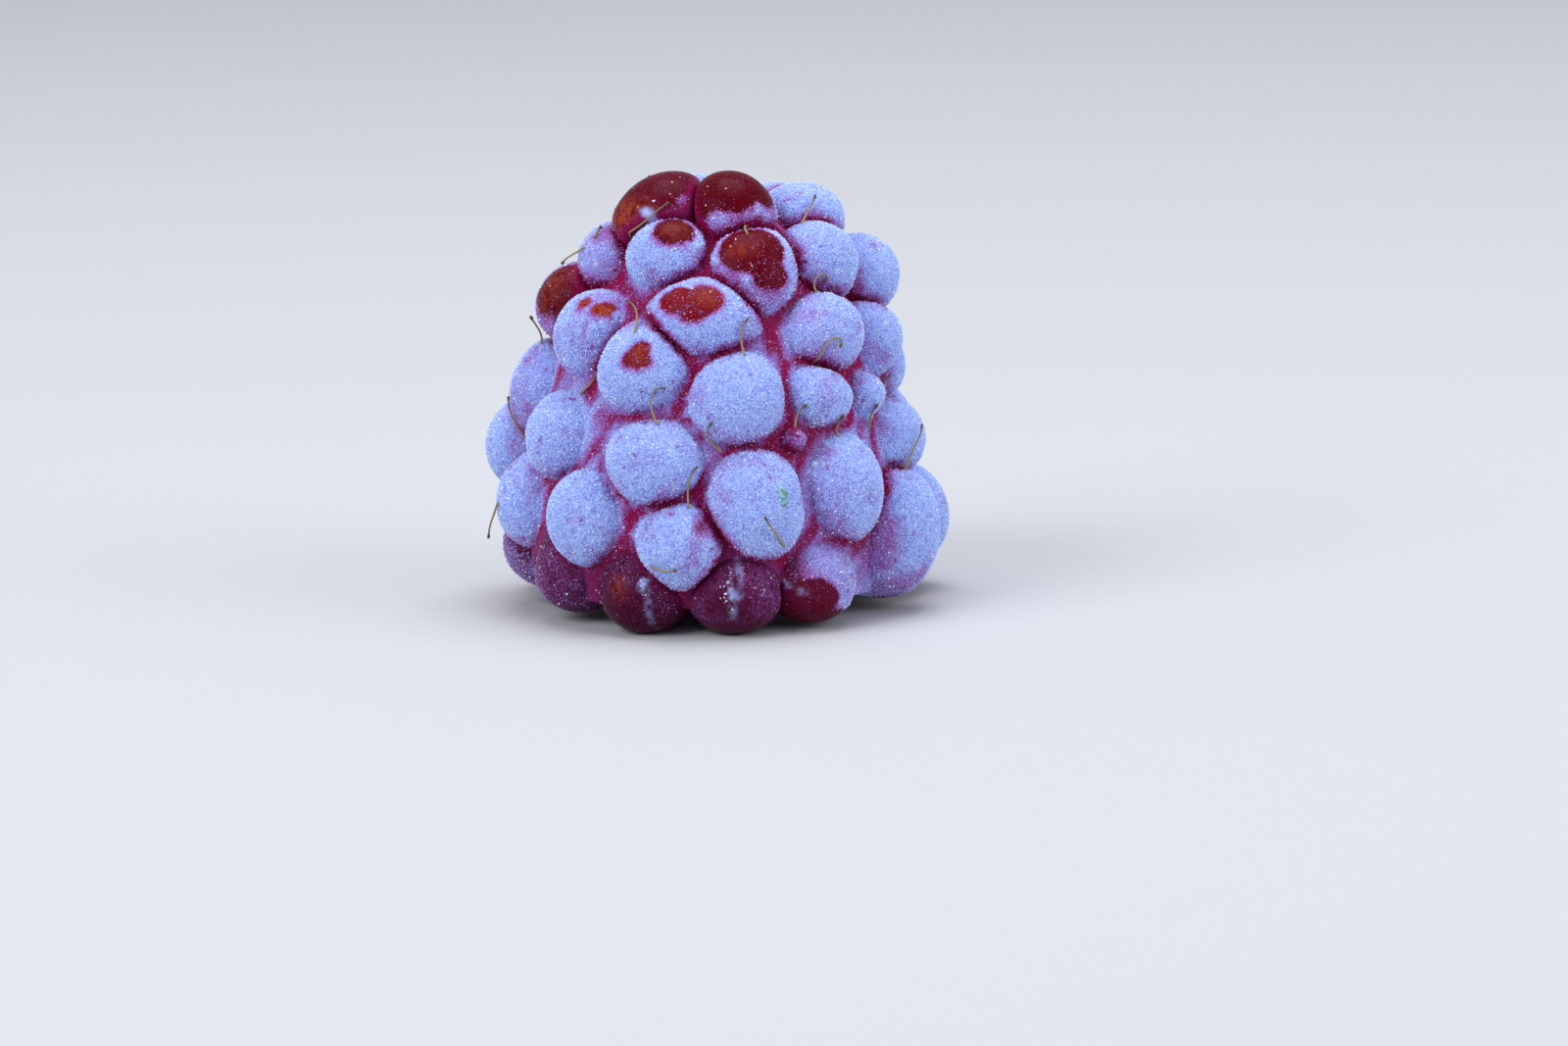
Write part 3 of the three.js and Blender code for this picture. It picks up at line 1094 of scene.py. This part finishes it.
# Dried styles that stayed on the fruit, thin threads rooted in the grooves. Each is given
# as azimuth, height, the way it heads from 0, round to the right, to 90, up the fruit, how
# far it turns by its end, its length and how far its end stands off the skin.
styles = {
    "front": [
        (-149, 19.77, -31, 0, 1.6, 0.5),
        (-69.1, 16.93, -110, 0, 1.3, 1.0),
        (-67.2, 17.32, 90, 0, 0.7, 0.3),
        (-47.1, 17.89, 35, 20, 2.5, 0.15),
        (-86, 12.29, 85, -30, 1.2, 0.35),
        (-26.8, 13.6, 105, 80, 2.5, 0.25),
        (19, 17.86, 100, -90, 0.8, 0.3),
        (58, 18.1, 25, 10, 1.5, 0.3),
        (47.5, 15.2, 90, -230, 1.5, 0.3),
        (11.5, 12.77, 105, -75, 1.8, 0.2),
        (38.9, 12.3, 85, -260, 1.7, 0.25),
        (-51.9, 10.84, 35, 20, 1.7, 0.2),
        (-16.3, 9.7, 125, -150, 2.3, 0.3),
        (-85.7, 7.55, 85, -15, 2.3, 0.3),
        (3, 8.61, 150, -130, 1.7, 0.2),
        (25.9, 9.46, 70, -40, 1.2, 0.2),
        (40.9, 8.74, 90, -20, 1.0, 0.2),
        (59.2, 8.85, 115, -40, 1.1, 0.2),
        (75, 9.9, 40, -30, 1.6, 0.4),
        (67.8, 6.57, 50, 25, 2.2, 0.35),
        (-7.1, 6.01, 96, -60, 2.1, 0.2),
        (18.7, 4.05, 130, -10, 2.0, 0.35),
        (-16.9, 3.43, -10, 35, 1.4, 0.3),
        (-76.4, 5.21, -100, 0, 1.8, 0.9),
    ],
    "backCount": 20,
    "steps": 16,
    "sides": 6,
    "sunk": 0.25,  # mm by which the root lies in the skin
    "thickness": 0.11,
    "knob": 0.2,
    "knobLength": 0.22,
    "stem": "94835C",
    "tip": "5C4834",
    "attributes": ["along"],
    "masks": {"nearEnd": ("along", 0.6, 1)},
    "layers": {"whole": ["stem", ("nearEnd", "tip")]},
    "roughness": 0.6,
    "specular": 0.3,
    # Those at the back by chance, each from and to, in the same order
    "back": [(112, 244), (3, 18), (30, 150), (-80, 80), (1, 2.2), (0.15, 0.45)],
    "thinning": 0.35,  # share of the thickness by the end
    "tighten": 40,  # times that the thread is drawn off the grooves
}


def findSkin():
    # For places on the outline, where the finished skin lies below them
    corners = [v.co for v in fruitMesh.vertices]
    return BVHTree.FromPolygons(corners, [face.vertices for face in fruitMesh.polygons])


skinTree = findSkin()


def skinBelow(azimuth, height):
    # The way out of the fruit, and how far out of its outline the skin is, in mm
    point, outward = outlineAt(height)
    out = roundAxes(azimuth, outward)[2]
    base = onOutline(azimuth, point) - Vector(fruitMiddle)
    hit = skinTree.ray_cast((base + 4 * out) * mm, -out, 8 * mm)
    return base, out, 4 - hit[3] / mm if hit[0] else -flesh["outside"]


def stylePath(azimuth, height, heading, turn, length, lift):
    # Points along a style, in mm: it lies over the grooves as a thread would
    bases, outs, levels = [], [], []
    for i in range(styles["steps"] + 1):
        base, out, level = skinBelow(azimuth, height)
        bases.append(base)
        outs.append(out)
        levels.append(level)
        way = math.radians(heading + turn * (i / styles["steps"]) ** 2)
        stride = length / styles["steps"]
        azimuth += math.degrees(math.cos(way) * stride / max(math.hypot(base.x, base.y), 0.8))
        rise = math.sin(way) * stride * max(outlineAt(height)[1].x, 0.2)
        height = min(height + rise, fruit["height"])
    levels = np.array(levels)
    levels[1:] += styles["thickness"] / 2
    for _ in range(styles["tighten"]):
        levels[1:-1] = np.maximum(levels[1:-1], (levels[:-2] + levels[2:]) / 2)
    share = np.linspace(0, 1, len(levels))
    levels += lift * share**1.5 - styles["sunk"] * (share == 0)
    return [base + out * level for base, out, level in zip(bases, outs, levels)], share


def tube(path, radii, sides):
    # A closed tube along a path, as points and faces
    points = [path[0]]
    faces = []
    side = (path[1] - path[0]).orthogonal()
    for i, (at, radius) in enumerate(zip(path, radii)):
        ahead = (path[min(i + 1, len(path) - 1)] - path[max(i - 1, 0)]).normalized()
        side = (side - ahead * side.dot(ahead)).normalized()
        for k in range(sides):
            turn = 2 * math.pi * k / sides
            points.append(at + (side * math.cos(turn) + ahead.cross(side) * math.sin(turn)) * radius)
    points.append(path[-1])
    for k in range(sides):
        j = (k + 1) % sides
        faces.append((0, 1 + j, 1 + k))
        for i in range(len(path) - 1):
            low, high = 1 + i * sides, 1 + (i + 1) * sides
            faces += [(low + k, low + j, high + j), (low + k, high + j, high + k)]
        faces.append((len(points) - 1, len(points) - 1 - sides + k, len(points) - 1 - sides + j))
    return points, faces


def styleMaterial():
    material, tree = newMaterial("dried plant fibre")
    inputs = {
        "Base Color": layeredColour(tree, styles, readings(tree, styles)),
        "Roughness": styles["roughness"],
        "Specular IOR Level": styles["specular"],
    }
    finishMaterial(tree, {}, inputs)
    return material


def layStyles():
    entries = list(styles["front"])
    for i in range(styles["backCount"]):
        entries.append([
            low + (high - low) * (scattered(2000 + 11 * i + k) + 0.5)
            for k, (low, high) in enumerate(styles["back"])
        ])
    points, faces, along = [], [], []
    for entry in entries:
        path, share = stylePath(*entry)
        radii = styles["thickness"] / 2 * (1 - styles["thinning"] * share)
        fromEnd = (1 - share) * entry[4]
        radii += (styles["knob"] / 2 - radii) * smoothstep(styles["knobLength"], 0.02, fromEnd)
        radii[-1] *= 0.6
        ownPoints, ownFaces = tube(path, radii, styles["sides"])
        faces += [tuple(len(points) + corner for corner in face) for face in ownFaces]
        points += ownPoints
        along += [0, *np.repeat(share, styles["sides"]), 1]
    piece = meshObject("driedStyles", points, faces, styleMaterial())
    layer = piece.data.attributes.new("along", "FLOAT", "POINT")
    layer.data.foreach_set("value", np.array(along, np.float32))
    piece.data.shade_smooth()
    addPiece(piece)


layStyles()

# Clear ice that froze in lumps on the frost: azimuth, height, size and how many lie together
iceLumps = {
    "places": [
        (32, 7.76, 0.42, 3),
        (2.4, 2.14, 0.3, 7),
        (3.2, 2.6, 0.22, 6),
        (4.0, 2.96, 0.16, 5),
        (4, 1.5, 0.16, 6),
        (-19.9, 2.55, 0.26, 6),
        (-18.6, 2.0, 0.15, 6),
        (12.5, 2.19, 0.16, 4),
        (15.2, 2.5, 0.14, 4),
        (-33.8, 18.49, 0.42, 4),
        (2, 8.77, 0.22, 4),
        (-5.6, 7.93, 0.22, 4),
        (57, 3.16, 0.18, 1),
        (-27.6, 5.05, 0.22, 1),
        (-34, 5.3, 0.14, 3),
        (35.3, 9.74, 0.16, 1),
        (38.1, 8.45, 0.14, 1),
        (17, 6.95, 0.14, 5),
        (9.2, 18.41, 0.14, 2),
        (93, 16.44, 0.14, 1),
        (17.1, 16.48, 0.12, 6),
    ],
    "sunk": 0.3,  # share of its size
    "spread": 0.9,
    "smaller": 0.5,  # size of those beside the first
    "subdivisions": 1,
    "stretch": (0.7, 0.6, 1),
    "colour": "DCE6FF",
    "roughness": 0.12,
    "clearness": 0.35,
}


def iceMaterial():
    material, tree = newMaterial("clear ice")
    inputs = {
        "Base Color": linearColour(iceLumps["colour"]),
        "Roughness": iceLumps["roughness"],
        "IOR": iceIor,
        "Transmission Weight": iceLumps["clearness"],
    }
    finishMaterial(tree, {}, inputs)
    return material


def lumpShape(subdivisions, stretch, seed):
    # A ball of few faces, stretched and made uneven
    ball = bmesh.new()
    bmesh.ops.create_icosphere(ball, subdivisions=subdivisions, radius=1)
    points, faces = shapeOf(ball)
    uneven = [1 + 0.5 * scattered(seed + 3 * i) for i in range(len(points))]
    return [Vector(p * stretch) * size for p, size in zip(points, uneven)], faces


def layIce():
    points, faces = [], []
    for number, (azimuth, height, size, count) in enumerate(iceLumps["places"]):
        for i in range(count):
            seed = 40 * number + 7 * i
            aside = iceLumps["spread"] * size * (i > 0)
            turn = azimuth + math.degrees(2 * aside * scattered(seed) / fruit["widestRadius"])
            base, out, level = skinBelow(turn, height + 3 * aside * scattered(seed + 1))
            own = size * (1 if i == 0 else iceLumps["smaller"]) / 2
            place = base + out * (level - own * iceLumps["sunk"])
            shape, ownFaces = lumpShape(iceLumps["subdivisions"], iceLumps["stretch"], seed)
            faces += [tuple(len(points) + corner for corner in face) for face in ownFaces]
            tilt = Euler([3 * scattered(seed + k) for k in range(3)])
            points += [place + tilt.to_matrix() @ (corner * own) for corner in shape]
    addPiece(meshObject("iceLumps", points, faces, iceMaterial()))


layIce()

# A crumb of leaf frozen to one drupelet
crumb = {
    "azimuth": 17.5,
    "height": 6.45,
    "half": (0.22, 0.44, 0.09),
    "subdivisions": 3,
    "seed": 77,
    "raised": 0.02,
    "pale": "86B4C4",
    "dark": "4E8A7C",
    "noise": {"spots": (0.2, 2)},
    "masks": {"spotted": ("spots", 0.4, 0.6)},
    "layers": {"whole": ["pale", ("spotted", "dark")]},
    "roughness": 0.6,
}


def layCrumb():
    base, out, level = skinBelow(crumb["azimuth"], crumb["height"])
    around, up, _ = roundAxes(crumb["azimuth"], outlineAt(crumb["height"])[1])
    points, faces = lumpShape(crumb["subdivisions"], crumb["half"], crumb["seed"])
    place = base + out * (level + crumb["raised"])
    points = [place + around * p.x + up * p.y + out * p.z for p in points]
    material, tree = newMaterial("leaf crumb")
    colour = layeredColour(tree, crumb, readings(tree, crumb))
    finishMaterial(tree, {}, {"Base Color": colour, "Roughness": crumb["roughness"]})
    piece = meshObject("leafCrumb", points, faces, material)
    piece.data.shade_smooth()
    addPiece(piece)


layCrumb()

# Stage: a plain pale floor under soft light from broad panels
studio = {
    "floorWidth": 6000,
    "floor": "B9BBC0",
    "floorRoughness": 0.9,
    "surround": "E4E8F4",
    "surroundStrength": 0.5,
    "aim": (0, 0, 9),
    "panels": {
        "key": {"place": (-320, -230, 300), "width": 300, "power": 1.45},
        "fill": {"place": (360, -160, 190), "width": 320, "power": 0.8},
        "top": {"place": (20, 60, 400), "width": 300, "power": 1.35},
    },
}


def makeStage():
    half = studio["floorWidth"] / 2
    corners = [(-half, -half, 0), (half, -half, 0), (half, half, 0), (-half, half, 0)]
    matt, tree = newMaterial("matt painted board")
    inputs = {"Base Color": linearColour(studio["floor"]), "Roughness": studio["floorRoughness"]}
    finishMaterial(tree, {}, inputs)
    floor = meshObject("floor", corners, [(0, 1, 2, 3)], matt)
    scene.collection.objects.link(floor)
    for name, panel in studio["panels"].items():
        data = bpy.data.lights.new(name, "AREA")
        data.size = panel["width"] * mm
        data.energy = panel["power"]
        light = bpy.data.objects.new(name, data)
        place = Vector(panel["place"]) * mm
        light.location = place
        aim = Vector(studio["aim"]) * mm
        light.rotation_mode = "QUATERNION"
        light.rotation_quaternion = (aim - place).to_track_quat("-Z", "Y")
        scene.collection.objects.link(light)
    world = bpy.data.worlds.new("surround")
    world.use_nodes = True
    background = world.node_tree.nodes["Background"]
    background.inputs["Color"].default_value = linearColour(studio["surround"])
    background.inputs["Strength"].default_value = studio["surroundStrength"]
    scene.world = world
    scene.view_settings.view_transform = "Standard"


makeStage()
print("stage set")
